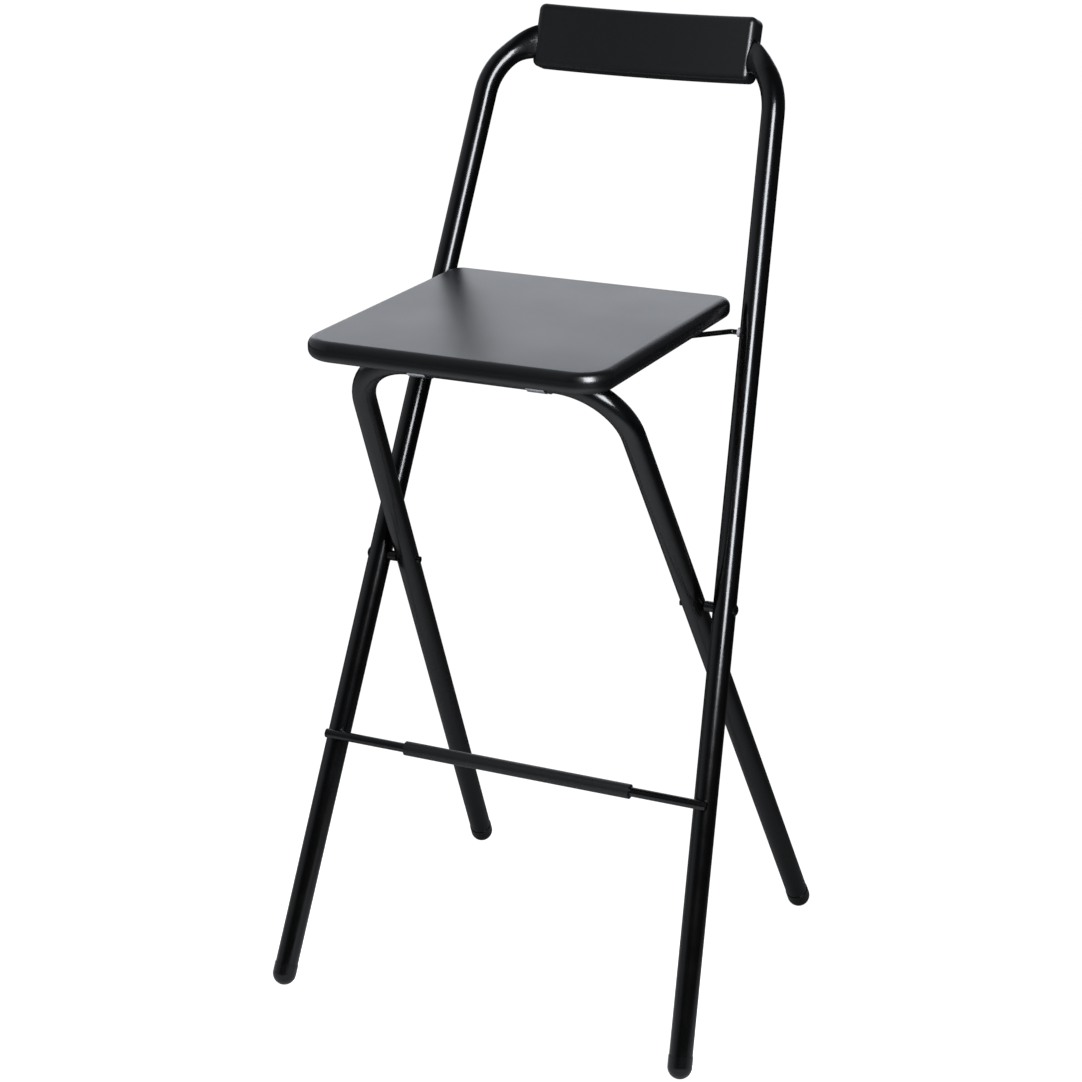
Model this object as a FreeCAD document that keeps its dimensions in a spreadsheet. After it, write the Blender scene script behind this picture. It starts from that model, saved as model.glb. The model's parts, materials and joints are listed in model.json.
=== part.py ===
import FreeCAD, Part
import math
import os

import Sketcher
from FreeCAD import Placement, Rotation, Vector

# Folding bar stool with a backrest: a long back frame whose feet stand in front, a shorter
# leg frame that crosses it, a seat board hinged on the leg frame's front bar, and a wire link
# from under the seat to the back frame. Millimetres, X across, Y to the rear, Z up, and the
# origin on the floor at the middle of the outer box.

doc = FreeCAD.newDocument("folding_bar_stool")

# Driving dimensions.
DIMENSIONS = [
    # Steel tube of both frames.
    ("tube_diameter", 22.2),
    ("tube_wall", 1.2),
    # Back frame, measured along its own leaning plane from the floor.
    ("back_lean_angle", 21.2),
    ("back_taper_angle", 3.87),
    ("front_foot_half_width", 211.0),
    ("back_frame_length", 961.3),
    ("top_bend_radius", 65.0),
    ("top_bar_setback", 38.0),
    ("crank_angle", 28.0),
    ("crank_bend_radius", 45.0),
    ("flattening_start_angle", 38.0),
    ("flattening_end_angle", 74.0),
    ("flat_bar_height", 34.0),
    ("flat_bar_thickness", 8.0),
    # Leg frame, measured along its own leaning plane from the floor.
    ("leg_lean_angle", 31.0),
    ("leg_taper_angle", 4.36),
    ("rear_foot_half_width", 187.0),
    ("leg_frame_length", 752.0),
    ("leg_bend_radius", 64.0),
    # Scissor pivot.
    ("pivot_height", 405.5),
    ("rivet_diameter", 6.0),
    ("rivet_head_diameter", 11.0),
    ("rivet_head_height", 2.2),
    ("rivet_tail_diameter", 6.8),
    ("rivet_tail_height", 1.7),
    ("rivet_tail_hollow_diameter", 3.2),
    ("rivet_tail_hollow_depth", 1.2),
    ("spacer_diameter", 10.0),
    ("hinge_clearance", 0.05),
    ("side_clearance", 0.7),
    # Feet.
    ("foot_diameter", 23.2),
    ("foot_collar_height", 10.0),
    ("foot_flat_depth", 0.7),
    ("foot_plug_length", 24.0),
    ("fit_clearance", 0.05),
    # Footrest.
    ("footrest_height", 241.0),
    ("footrest_rod_diameter", 9.0),
    ("footrest_rod_overhang", 6.0),
    ("footrest_sleeve_diameter", 14.0),
    ("footrest_sleeve_length", 236.0),
    ("footrest_sleeve_shift", 6.0),
    ("weld_depth", 0.5),
    # Seat board.
    ("seat_rise_angle", 1.4),
    ("seat_width", 294.0),
    ("seat_depth", 311.0),
    ("seat_thickness", 19.2),
    ("seat_front_overhang", 73.8),
    ("seat_front_corner_radius", 32.0),
    ("seat_rear_corner_radius", 16.0),
    ("seat_edge_radius", 8.0),
    ("seat_edge_band", 0.4),
    ("seat_cover_thickness", 0.8),
    ("seat_cover_return", 22.0),
    ("seat_to_bar_clearance", 0.2),
    # Saddles that hinge the seat on the leg frame's bar.
    ("saddle_spacing", 117.0),
    ("saddle_shift", -2.5),
    ("saddle_width", 17.5),
    ("saddle_gauge", 1.2),
    ("saddle_clearance", 0.1),
    ("saddle_flange_length", 16.0),
    ("stop_pin_diameter", 3.5),
    ("stop_pin_height", 1.0),
    ("stop_pin_gap", 0.5),
    ("wood_screw_diameter", 3.5),
    ("wood_screw_head_diameter", 7.0),
    ("wood_screw_head_height", 2.0),
    ("wood_screw_length", 12.0),
    ("screw_slot_width", 0.9),
    ("screw_slot_depth", 0.9),
    # Wire link under the seat.
    ("link_wire_diameter", 5.0),
    ("link_height", 646.0),
    ("link_bar_half_width", 88.0),
    ("link_corner_radius", 10.0),
    ("link_end_length", 7.0),
    ("link_end_radius", 4.0),
    ("link_bush_wall", 0.4),
    ("link_bush_lip", 1.3),
    ("link_bush_flange", 2.0),
    ("link_bush_barrel_length", 4.0),
    ("link_clip_spacing", 110.0),
    ("link_clip_width", 14.0),
    ("link_clip_gauge", 1.0),
    ("link_clip_flange_length", 12.0),
    ("free_clearance", 0.3),
    ("fold_clearance", 0.6),
    # Backrest.
    ("backrest_width", 228.0),
    ("backrest_height", 62.0),
    ("backrest_end_thickness", 27.0),
    ("backrest_middle_thickness", 28.0),
    ("backrest_hollow", 10.0),
    ("backrest_front_setback", 21.0),
    ("backrest_above_bar", 4.4),
    ("backrest_tilt_angle", 3.9),
    ("backrest_front_share", 14.0),
    ("backrest_edge_radius", 6.5),
    ("backrest_channel_clearance", 0.3),
    ("backrest_screw_spacing", 70.0),
    ("backrest_screw_diameter", 4.0),
    ("backrest_screw_head_diameter", 8.0),
    ("backrest_screw_head_height", 2.4),
    ("backrest_screw_length", 24.0),
    ("backrest_screw_sink", 1.2),
]

sheet = doc.addObject("Spreadsheet::Sheet", "sizes")
for row, (name, value) in enumerate(DIMENSIONS, start=1):
    sheet.set("A%d" % row, name)
    sheet.set("B%d" % row, str(value))
    sheet.setAlias("B%d" % row, name)
doc.recompute()


def size(name):
    """A driving dimension, read back from the sheet."""
    return float(sheet.get(name))


def radians(name):
    return math.radians(size(name))


def turned_x(degrees):
    return Rotation(Vector(1, 0, 0), degrees)


def turned_y(degrees):
    return Rotation(Vector(0, 1, 0), degrees)


def turned_z(degrees):
    return Rotation(Vector(0, 0, 1), degrees)


# Places worked out from the driving dimensions. Sections in the YZ plane are (y, z) pairs,
# first with the scissor pivot's Y at 0, then moved so that the outer box is centred.
tube_radius = size("tube_diameter") / 2
back_lean = radians("back_lean_angle")
leg_lean = radians("leg_lean_angle")
rise = radians("seat_rise_angle")
pivot_z = size("pivot_height")
pivot_along_back = pivot_z / math.cos(back_lean)
pivot_along_leg = pivot_z / math.cos(leg_lean)
front_bar_reach = size("leg_frame_length") - pivot_along_leg
front_bar_y = -front_bar_reach * math.sin(leg_lean)
front_bar_z = pivot_z + front_bar_reach * math.cos(leg_lean)
seat_gap = tube_radius + size("seat_to_bar_clearance")
board_underside = seat_gap + size("seat_cover_thickness")
foot_radius = size("foot_diameter") / 2
foot_centre_z = foot_radius - size("foot_flat_depth")
# The seat's upper and lower round edges leave at least a narrow straight band between them.
SEAT_EDGE = "min(sizes.seat_edge_radius; sizes.seat_thickness / 2 - sizes.seat_edge_band)"
seat_edge = min(size("seat_edge_radius"), size("seat_thickness") / 2 - size("seat_edge_band"))

# The wire link's ends run in bushes with this bore and this outer radius.
BUSH_BORE = "sizes.link_wire_diameter / 2 + sizes.free_clearance"
BUSH_BARREL = "sizes.free_clearance + sizes.link_bush_wall + sizes.link_wire_diameter / 2"

# The backrest in the back frame's axes. It is drawn in its own frame, X across, Y to the rear of the
# tube plane and Z up, then turned about the middle of its thickness to stand more upright.
backrest_middle_back = size("backrest_front_setback") + size("backrest_middle_thickness") / 2
backrest_along = size("back_frame_length") + size("backrest_above_bar")
backrest_place = (Placement(Vector(0, backrest_middle_back, backrest_along),
                            turned_x(size("backrest_tilt_angle")))
                  * Placement(Vector(0, -backrest_middle_back, 0), Rotation()))

# The outer box: from the seat's front edge to the rear feet or the backrest, whichever is further.
edge_centre_up = seat_gap + size("seat_thickness") - seat_edge
edge_centre_forward = size("seat_front_overhang") - seat_edge
seat_front_y = (front_bar_y - edge_centre_forward * math.cos(rise)
                - edge_centre_up * math.sin(rise) - seat_edge)
rear_foot_y = (pivot_z - foot_centre_z) * math.tan(leg_lean) + foot_radius
backrest_rim_centre = backrest_place.multVec(Vector(
    0, size("backrest_front_setback") + size("backrest_middle_thickness") - size("backrest_edge_radius"),
    size("backrest_height") / 2 - size("backrest_edge_radius")))
backrest_rear_y = ((backrest_rim_centre.z - pivot_along_back) * math.sin(back_lean)
                   + backrest_rim_centre.y * math.cos(back_lean) + size("backrest_edge_radius"))
pivot_y = -(seat_front_y + max(rear_foot_y, backrest_rear_y)) / 2

# Frames of reference: each moving group is drawn square to its own axes and then placed.
back_place = Placement(Vector(0, pivot_y - pivot_z * math.tan(back_lean), 0),
                       turned_x(-size("back_lean_angle")))
leg_place = Placement(Vector(0, pivot_y + pivot_z * math.tan(leg_lean), 0),
                      turned_x(size("leg_lean_angle")))
seat_place = Placement(Vector(0, pivot_y + front_bar_y, front_bar_z),
                       turned_x(size("seat_rise_angle")))


def half_width(foot_name, taper_name, along):
    """Half the distance between a frame's two tube axes, at a length along the frame."""
    return size(foot_name) - along * math.tan(radians(taper_name))


def back_half_width(along):
    return half_width("front_foot_half_width", "back_taper_angle", along)


def leg_half_width(along):
    return half_width("rear_foot_half_width", "leg_taper_angle", along)


# Closed linkage: the link's rear end stays on the back frame when the seat is open and when it
# is folded flat on the back frame. Points are (along the back frame, in front of it), from the
# scissor pivot. The fold stops just before the legs reach the footrest rod.
footrest_forward = tube_radius + size("footrest_rod_diameter") / 2 - size("weld_depth")
rod_along_back = (size("footrest_height") - footrest_forward * math.sin(back_lean)) / math.cos(back_lean)
fold_gap_angle = math.asin((size("weld_depth") + size("fold_clearance"))
                           / (pivot_along_back - rod_along_back))
fold_angle = back_lean + leg_lean - fold_gap_angle
link_end_along = size("link_height") / math.cos(back_lean)
link_end = (link_end_along - pivot_along_back, 0.0)
link_drop = board_underside - size("link_wire_diameter") / 2 - size("free_clearance")


def in_section(angle, length):
    return (length * math.cos(angle), length * math.sin(angle))


open_bar = in_section(back_lean + leg_lean, front_bar_reach)
folded_bar = in_section(fold_gap_angle, front_bar_reach)
open_seat_angle = back_lean - math.pi / 2 + rise
open_offset = in_section(open_seat_angle + math.pi / 2, link_drop)
open_start = (open_bar[0] + open_offset[0] - link_end[0], open_bar[1] + open_offset[1] - link_end[1])
folded_start = (folded_bar[0] - link_end[0], folded_bar[1] + link_drop - link_end[1])
open_along = in_section(open_seat_angle, 1.0)
open_dot = open_start[0] * open_along[0] + open_start[1] * open_along[1]
open_square = open_start[0] ** 2 + open_start[1] ** 2
folded_square = folded_start[0] ** 2 + folded_start[1] ** 2
link_along_seat = (open_square - folded_square) / (2 * (folded_start[0] - open_dot))
link_length = math.hypot(folded_start[0] + link_along_seat, folded_start[1])

# The link's bar in the seat's frame, and the link's own frame: its Y axis runs to its rear end.
link_bar_place = seat_place * Placement(Vector(0, link_along_seat, link_drop), Rotation())
link_bar_point = link_bar_place.Base
link_end_point = back_place.multVec(Vector(0, 0, link_end_along))
link_angle = math.degrees(math.atan2(link_end_point.z - link_bar_point.z,
                                     link_end_point.y - link_bar_point.y))
link_place = Placement(link_bar_point, turned_x(link_angle))

# What turns how far, for the joints.
seat_turn = math.degrees(fold_angle) - (size("seat_rise_angle") - 90 + size("back_lean_angle"))
folded_link = math.atan2(-folded_start[1], -(folded_start[0] + link_along_seat))
folded_link_turn = (math.degrees(folded_link) - 360) % -360
link_turn = folded_link_turn - (link_angle - size("seat_rise_angle"))

NODES = []


def add_node(item, label, place):
    """Keeps an object as a sub-part: its label names the file, and its placement is set last."""
    item.Label = label
    item.Placement = place
    NODES.append(item)


def value(expression):
    """The number that an expression on the sheet gives."""
    return float(sheet.evalExpression(expression))


def shifted(x, y, z):
    return Placement(Vector(x, y, z), Rotation())


def across(x, y, z):
    """The placement of a rod that starts at a point and runs along +X."""
    return Placement(Vector(x, y, z), turned_y(90))


def side_place(group, side):
    """The placement of a right-hand piece (side 1), or of its twin on the left (side -1)."""
    return group * Placement(Vector(), turned_z(0 if side > 0 else 180))


SIDES = (("left", -1), ("right", 1))


# Drawing aids. A length is an expression on the sheet, so that the object follows the sheet, or a
# number where it was worked out above.
def set_length(item, prop, length):
    if isinstance(length, str):
        item.setExpression(prop, length)
    else:
        setattr(item, prop, length)


def rod(name, radius, height, place):
    """A cylinder along the Z axis of its placement."""
    cylinder = doc.addObject("Part::Cylinder", name)
    set_length(cylinder, "Radius", radius)
    set_length(cylinder, "Height", height)
    cylinder.Placement = place
    return cylinder


def fuse(name, items):
    joined = doc.addObject("Part::MultiFuse", name)
    joined.Shapes = items
    return joined


def cut(name, base, tools):
    result = doc.addObject("Part::Cut", name)
    result.Base = base
    result.Tool = tools[0] if len(tools) == 1 else fuse(name + "_tools", tools)
    return result


def origin_plane(body, role):
    return [plane for plane in body.Origin.OriginFeatures if plane.Role == role][0]


def new_sketch(body, name, role):
    sketch = body.newObject("Sketcher::SketchObject", name)
    sketch.AttachmentSupport = [(origin_plane(body, role), "")]
    sketch.MapMode = "FlatFace"
    return sketch


def add_circle(sketch, radius, across_at=0.0, up_at=0.0):
    """A circle whose radius follows an expression."""
    centre = Vector(across_at, up_at, 0)
    index = sketch.addGeometry(Part.Circle(centre, Vector(0, 0, 1), value(radius)))
    constraint = sketch.addConstraint(Sketcher.Constraint("Radius", index, value(radius)))
    sketch.setExpression("Constraints[%d]" % constraint, radius)


def add_runs(sketch, pieces, closed):
    """Lines (two points) and arcs (three points) in a chain, joined end to end."""
    for piece in pieces:
        points = [Vector(across_at, up_at, 0) for across_at, up_at in piece]
        sketch.addGeometry(Part.LineSegment(*points) if len(points) == 2 else Part.Arc(*points))
    count = len(pieces)
    ends = [end_of(sketch, index, pieces[index][-1]) for index in range(count)]
    starts = [end_of(sketch, index, pieces[index][0]) for index in range(count)]
    for index in range(count if closed else count - 1):
        following = (index + 1) % count
        sketch.addConstraint(Sketcher.Constraint("Coincident", index, ends[index],
                                                 following, starts[following]))


def end_of(sketch, index, point):
    """Which end of a line or arc lies at a point: arcs may be stored the other way round."""
    at = Vector(point[0], point[1], 0)
    return 1 if sketch.getPoint(index, 1).distanceToPoint(at) < 0.001 else 2


def pad(body, sketch, length, midplane=False):
    feature = body.newObject("PartDesign::Pad", sketch.Name + "_pad")
    feature.Profile = sketch
    feature.Midplane = midplane
    feature.setExpression("Length", length)
    return feature


def fillet(body, base, edges, radius):
    """Rounds the edges that a test picks out of the feature so far."""
    doc.recompute()
    names = ["Edge%d" % number for number, edge in enumerate(base.Shape.Edges, start=1) if edges(edge)]
    feature = body.newObject("PartDesign::Fillet", base.Name + "_round")
    feature.Base = (base, names)
    feature.setExpression("Radius", radius)
    return feature


def upright(edge):
    """Whether an edge runs along Z."""
    start, end = edge.Vertexes[0].Point, edge.Vertexes[-1].Point
    return math.hypot(end.x - start.x, end.y - start.y) < 0.01 and abs(end.z - start.z) > 0.01


def level(edge):
    """Whether all of an edge lies at one height."""
    return edge.BoundBox.ZLength < 0.01


def any_edge(edge):
    return not edge.isNull()


def corner_arc(before, corner, after, radius):
    """Start, middle, end and centre of the arc that rounds the corner between two runs."""
    arriving = (corner - before).normalize()
    leaving = (after - corner).normalize()
    turn = arriving.getAngle(leaving)
    start = corner - arriving * (radius * math.tan(turn / 2))
    end = corner + leaving * (radius * math.tan(turn / 2))
    inward = (leaving - arriving).normalize()
    centre = corner + inward * (radius / math.cos(turn / 2))
    return start, centre - inward * radius, end, centre


def bent_rod(name, role, corners, radii, rod_radius, bore_radius=None):
    """A round rod or tube along a flat path, drawn for the right half and mirrored.

    The path starts on the middle plane at the first corner, and each inner corner is rounded."""
    body = doc.addObject("PartDesign::Body", name)
    points = [Vector(across_at, up_at, 0) for across_at, up_at in corners]
    pieces = []
    reached = points[0]
    for index, radius in enumerate(radii, start=1):
        start, middle, end, _ = corner_arc(points[index - 1], points[index], points[index + 1], radius)
        pieces.append([(reached.x, reached.y), (start.x, start.y)])
        pieces.append([(start.x, start.y), (middle.x, middle.y), (end.x, end.y)])
        reached = end
    pieces.append([(reached.x, reached.y), (points[-1].x, points[-1].y)])
    path = new_sketch(body, name + "_path", role)
    add_runs(path, pieces, closed=False)
    profile = new_sketch(body, name + "_section", "YZ_Plane")
    centre = (0.0, points[0].y) if role == "XZ_Plane" else (points[0].y, 0.0)
    add_circle(profile, rod_radius, *centre)
    if bore_radius:
        add_circle(profile, bore_radius, *centre)
    pipe = body.newObject("PartDesign::AdditivePipe", name + "_pipe")
    pipe.Profile = profile
    pipe.Spine = (path, ["Edge%d" % number for number in range(1, len(pieces) + 1)])
    doc.recompute()
    mirrored = body.newObject("PartDesign::Mirrored", name + "_mirror")
    mirrored.Originals = [pipe]
    mirrored.MirrorPlane = (origin_plane(body, "YZ_Plane"), [""])
    body.Tip = mirrored
    doc.recompute()
    return body


def tube_rod(name, half_width_there, along, taper):
    """A short length of a frame's right-hand tube, solid, used to shape what sits against it."""
    direction = turned_y(-size(taper))
    start = Vector(half_width_there, 0, along) - direction.multVec(Vector(0, 0, size("tube_diameter")))
    return rod(name, "sizes.tube_diameter / 2", "2 * sizes.tube_diameter", Placement(start, direction))


# Feet.
def foot(label, group, half_width_name, taper, side):
    """A round-ended plastic foot: a ball, a collar that meets the tube, and a plug inside the tube.
    Its underside is flat where it stands on the floor."""
    lean = group.Rotation.multVec(Vector(0, 0, 1))
    along = foot_centre_z / lean.z
    centre = Vector(side * half_width(half_width_name, taper, along), 0, along)
    place = group * Placement(centre, turned_y(-side * size(taper)))
    ball = doc.addObject("Part::Sphere", label + "_ball")
    ball.setExpression("Radius", "sizes.foot_diameter / 2")
    collar = rod(label + "_collar", "sizes.foot_diameter / 2", "sizes.foot_collar_height", Placement())
    plug = rod(label + "_plug", "sizes.tube_diameter / 2 - sizes.tube_wall - sizes.fit_clearance",
               "sizes.foot_collar_height + sizes.foot_plug_length", Placement())
    floor_block = doc.addObject("Part::Box", label + "_floor")
    for prop in ("Length", "Width", "Height"):
        floor_block.setExpression(prop, "2 * sizes.foot_diameter")
    corner = Vector(place.Base.x - size("foot_diameter"), place.Base.y - size("foot_diameter"),
                    -2 * size("foot_diameter"))
    floor_block.Placement = place.inverse() * Placement(corner, Rotation())
    solid = fuse(label + "_solid", [ball, collar, plug])
    add_node(cut(label + "_cut", solid, [floor_block]), label, place)


def tube_start(group):
    """How far along a frame its tubes begin: on the foot's collar."""
    return foot_centre_z / group.Rotation.multVec(Vector(0, 0, 1)).z + size("foot_collar_height")


# Back frame.
def back_path():
    """Corners of the right half of the back frame: up the leaning tube, then inwards and to the
    rear, then level across."""
    bar_length = size("back_frame_length")
    start = tube_start(back_place)
    crank = radians("crank_angle")
    shoulder = Vector(back_half_width(bar_length), 0, bar_length)
    setback = size("top_bar_setback")
    elbow = shoulder + Vector(-setback / math.tan(crank), setback, 0)
    return [Vector(back_half_width(start), 0, start), shoulder, elbow, Vector(0, setback, bar_length)]


def section(centre, radial, tangent, half_height, half_thickness):
    """The outline of the tube, round or pressed flat, square to its path."""
    if abs(half_height - half_thickness) < 0.001:
        curve = Part.Circle(Vector(), Vector(0, 0, 1), half_height)
    else:
        curve = Part.Ellipse(Vector(half_height, 0, 0), Vector(0, half_thickness, 0), Vector())
    wire = Part.Wire(curve.toShape())
    wire.Placement = Placement(centre, Rotation(radial, tangent.cross(radial), tangent, "ZXY"))
    return wire


def half_back_tube(growth):
    """The right half of the back frame's tube as a filled solid, its surface moved out by growth."""
    corners = back_path()
    start, _, end, centre = corner_arc(*corners[:3], size("top_bend_radius"))
    turn = (corners[1] - corners[0]).getAngle(corners[2] - corners[1])
    radius = size("top_bend_radius")
    outward = (start - centre).normalize()
    onward = (corners[1] - corners[0]).normalize()

    def on_bend(angle):
        radial = outward * math.cos(angle) + onward * math.sin(angle)
        tangent = onward * math.cos(angle) - outward * math.sin(angle)
        return centre + radial * radius, radial, tangent

    round_half = tube_radius + growth
    flat_halves = (size("flat_bar_height") / 2 + growth, size("flat_bar_thickness") / 2 + growth)
    flat_from = radians("flattening_start_angle")
    flat_to = radians("flattening_end_angle")

    bend_start = Part.LineSegment(corners[0], start).toShape()
    round_bend = Part.Arc(start, on_bend(flat_from / 2)[0], on_bend(flat_from)[0]).toShape()
    round_profile = section(corners[0], outward, onward, round_half, round_half)
    round_part = Part.Wire([bend_start, round_bend]).makePipeShell([round_profile], True, False)

    steps = 4
    profiles = []
    for step in range(steps + 1):
        share = step / steps
        blend = share * share * (3 - 2 * share)
        halves = [round_half + (flat - round_half) * blend for flat in flat_halves]
        profiles.append(section(*on_bend(flat_from + (flat_to - flat_from) * share), *halves))
    pressed_part = Part.makeLoft(profiles, True, False)

    crank = corner_arc(*corners[1:], size("crank_bend_radius"))
    last_bend = Part.Arc(on_bend(flat_to)[0], on_bend((flat_to + turn) / 2)[0], end).toShape()
    flat_edges = [last_bend, Part.LineSegment(end, crank[0]).toShape(), Part.Arc(*crank[:3]).toShape(),
                  Part.LineSegment(crank[2], corners[3]).toShape()]
    flat_part = Part.Wire(flat_edges).makePipeShell([profiles[-1]], True, False)
    return round_part.fuse([pressed_part, flat_part])


def whole_back_tube(growth):
    half = half_back_tube(growth)
    other = half.mirror(Vector(), Vector(1, 0, 0))
    return half.fuse(other)


def back_frame_tube():
    raw = doc.addObject("Part::Feature", "back_tube_raw")
    raw.Shape = whole_back_tube(0.0).cut(whole_back_tube(-size("tube_wall")))
    reach = size("front_foot_half_width")
    rivet_hole = rod("back_rivet_hole", "sizes.rivet_diameter / 2 + sizes.hinge_clearance",
                     "2 * sizes.front_foot_half_width", across(-reach, 0, pivot_along_back))
    bush_reach = back_half_width(link_end_along)
    bush_hole = rod("back_bush_hole", BUSH_BARREL + " + sizes.fit_clearance",
                    2 * bush_reach, across(-bush_reach, 0, link_end_along))
    tools = [rivet_hole, bush_hole]
    for name, side in SIDES:
        place = backrest_place * backrest_screw_place(side)
        tools.append(rod("back_bar_hole_" + name, "sizes.backrest_screw_diameter / 2 + sizes.fit_clearance",
                         "sizes.backrest_screw_length", place))
    add_node(cut("back_tube_cut", raw, tools), "back_frame_tube", back_place)


# Scissor pivot.
def pivot_pieces(name, side):
    place = side_place(back_place, side)
    back_x = back_half_width(pivot_along_back)
    leg_x = leg_half_width(pivot_along_leg)
    back_face = tube_radius / math.cos(radians("back_taper_angle"))
    leg_face = tube_radius / math.cos(radians("leg_taper_angle"))
    running = size("side_clearance")

    spacer_start = leg_x + leg_face + running
    spacer = rod("spacer_" + name, "sizes.spacer_diameter / 2", back_x - spacer_start,
                 across(spacer_start, 0, pivot_along_back))
    bore = rod("spacer_bore_" + name, "sizes.rivet_diameter / 2 + sizes.hinge_clearance",
               back_x - spacer_start, across(spacer_start, 0, pivot_along_back))
    shape_to_tube = tube_rod("spacer_seat_" + name, back_x, pivot_along_back, "back_taper_angle")
    add_node(cut("spacer_cut_" + name, spacer, [bore, shape_to_tube]), "pivot_spacer_" + name, place)

    tail_start = leg_x - leg_face - running - size("rivet_tail_height")
    crown = back_x + back_face
    tail = rod("rivet_tail_" + name, "sizes.rivet_tail_diameter / 2", "sizes.rivet_tail_height",
               across(tail_start, 0, pivot_along_back))
    shank = rod("rivet_shank_" + name, "sizes.rivet_diameter / 2", crown - tail_start,
                across(tail_start, 0, pivot_along_back))
    head_half = size("rivet_head_diameter") / 2
    dome_radius = (head_half ** 2 + size("rivet_head_height") ** 2) / (2 * size("rivet_head_height"))
    dome_start = crown + size("rivet_head_height") - dome_radius
    dome = doc.addObject("Part::Sphere", "rivet_dome_" + name)
    dome.setExpression("Radius", "(sizes.rivet_head_diameter ^ 2 / 4 + sizes.rivet_head_height ^ 2)"
                       " / (2 * sizes.rivet_head_height)")
    dome.Placement = shifted(dome_start, 0, pivot_along_back)
    block = rod("rivet_head_limit_" + name, "sizes.rivet_head_diameter / 2", "2 * sizes.rivet_head_diameter",
                across(back_x + size("rivet_diameter"), 0, pivot_along_back))
    head = doc.addObject("Part::Common", "rivet_head_" + name)
    head.Base = dome
    head.Tool = block
    skirt = rod("rivet_skirt_" + name, "sizes.rivet_head_diameter / 2",
                crown - back_x - size("rivet_diameter"),
                across(back_x + size("rivet_diameter"), 0, pivot_along_back))
    around_tube = tube_rod("rivet_seat_" + name, back_x, pivot_along_back, "back_taper_angle")
    seated_head = cut("rivet_seated_head_" + name, fuse("rivet_whole_head_" + name, [head, skirt]),
                      [around_tube])
    hollow = rod("rivet_hollow_" + name, "sizes.rivet_tail_hollow_diameter / 2",
                 "sizes.rivet_tail_hollow_depth", across(tail_start, 0, pivot_along_back))
    solid = fuse("rivet_solid_" + name, [tail, shank, seated_head])
    add_node(cut("rivet_" + name, solid, [hollow]), "pivot_rivet_" + name, place)


# Footrest.
footrest_half = back_half_width(rod_along_back) + size("footrest_rod_overhang")


def footrest():
    bar = rod("footrest_bar", "sizes.footrest_rod_diameter / 2", 2 * footrest_half, Placement())
    add_node(bar, "footrest_rod", back_place * across(-footrest_half, -footrest_forward, rod_along_back))
    start = size("footrest_sleeve_shift") - size("footrest_sleeve_length") / 2
    outer = rod("sleeve_outer", "sizes.footrest_sleeve_diameter / 2", "sizes.footrest_sleeve_length",
                Placement())
    bore = rod("sleeve_bore", "sizes.footrest_rod_diameter / 2 + sizes.fit_clearance",
               "sizes.footrest_sleeve_length", Placement())
    add_node(cut("sleeve_cut", outer, [bore]), "footrest_sleeve",
             back_place * across(start, -footrest_forward, rod_along_back))


# Bushes that the wire link's ends meet, in the inner walls of the back frame's tubes.
bush_tube_x = back_half_width(link_end_along)
bush_start = bush_tube_x - tube_radius / math.cos(radians("back_taper_angle")) - size("link_bush_flange")


def link_bush(name, side):
    at = across(bush_start, 0, link_end_along)
    flange = rod("bush_flange_" + name, BUSH_BARREL + " + sizes.link_bush_lip", "2 * sizes.link_bush_flange", at)
    around_tube = tube_rod("bush_seat_" + name, bush_tube_x, link_end_along, "back_taper_angle")
    barrel_length = "sizes.link_bush_flange + sizes.link_bush_barrel_length"
    barrel = rod("bush_barrel_" + name, BUSH_BARREL, barrel_length, at)
    bore = rod("bush_bore_" + name, BUSH_BORE, barrel_length + " - sizes.tube_wall", at)
    seated = cut("bush_seated_" + name, flange, [around_tube])
    solid = fuse("bush_solid_" + name, [seated, barrel])
    add_node(cut("bush_" + name, solid, [bore]), "link_bush_" + name, side_place(back_place, side))


# Leg frame.
def leg_frame_tube():
    bar_length = size("leg_frame_length")
    start = tube_start(leg_place)
    corners = [(0.0, bar_length), (leg_half_width(bar_length), bar_length), (leg_half_width(start), start)]
    tube = bent_rod("leg_tube", "XZ_Plane", corners, [size("leg_bend_radius")], "sizes.tube_diameter / 2",
                    "sizes.tube_diameter / 2 - sizes.tube_wall")
    reach = size("rear_foot_half_width")
    tools = [rod("leg_rivet_hole", "sizes.rivet_diameter / 2 + sizes.hinge_clearance",
                 "2 * sizes.rear_foot_half_width", across(-reach, 0, pivot_along_leg))]
    for name, side in SIDES:
        tools.append(rod("stop_pin_hole_" + name, "sizes.stop_pin_diameter / 2 + sizes.fit_clearance",
                         "sizes.tube_diameter", stop_pin_place(side)))
    add_node(cut("leg_tube_cut", tube, tools), "leg_frame_tube", leg_place)


def saddle_centre(side):
    """Both saddles lie a little to the left."""
    return side * size("saddle_spacing") / 2 + size("saddle_shift")


def stop_pin_place(side):
    """From the tube's axis straight down, just to the right of a saddle, in the leg frame."""
    offset = size("saddle_width") / 2 + size("stop_pin_gap") + size("stop_pin_diameter") / 2
    down = leg_place.Rotation.inverted() * turned_x(180)
    return Placement(Vector(saddle_centre(side) + offset, 0, size("leg_frame_length")), down)


def stop_pin(name, side):
    inside = tube_radius - size("tube_wall")
    pin = rod("stop_pin_" + name + "_rod", "sizes.stop_pin_diameter / 2",
              "sizes.tube_wall + sizes.stop_pin_height", Placement())
    add_node(pin, "stop_pin_" + name, leg_place * stop_pin_place(side) * shifted(0, 0, inside))


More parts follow.
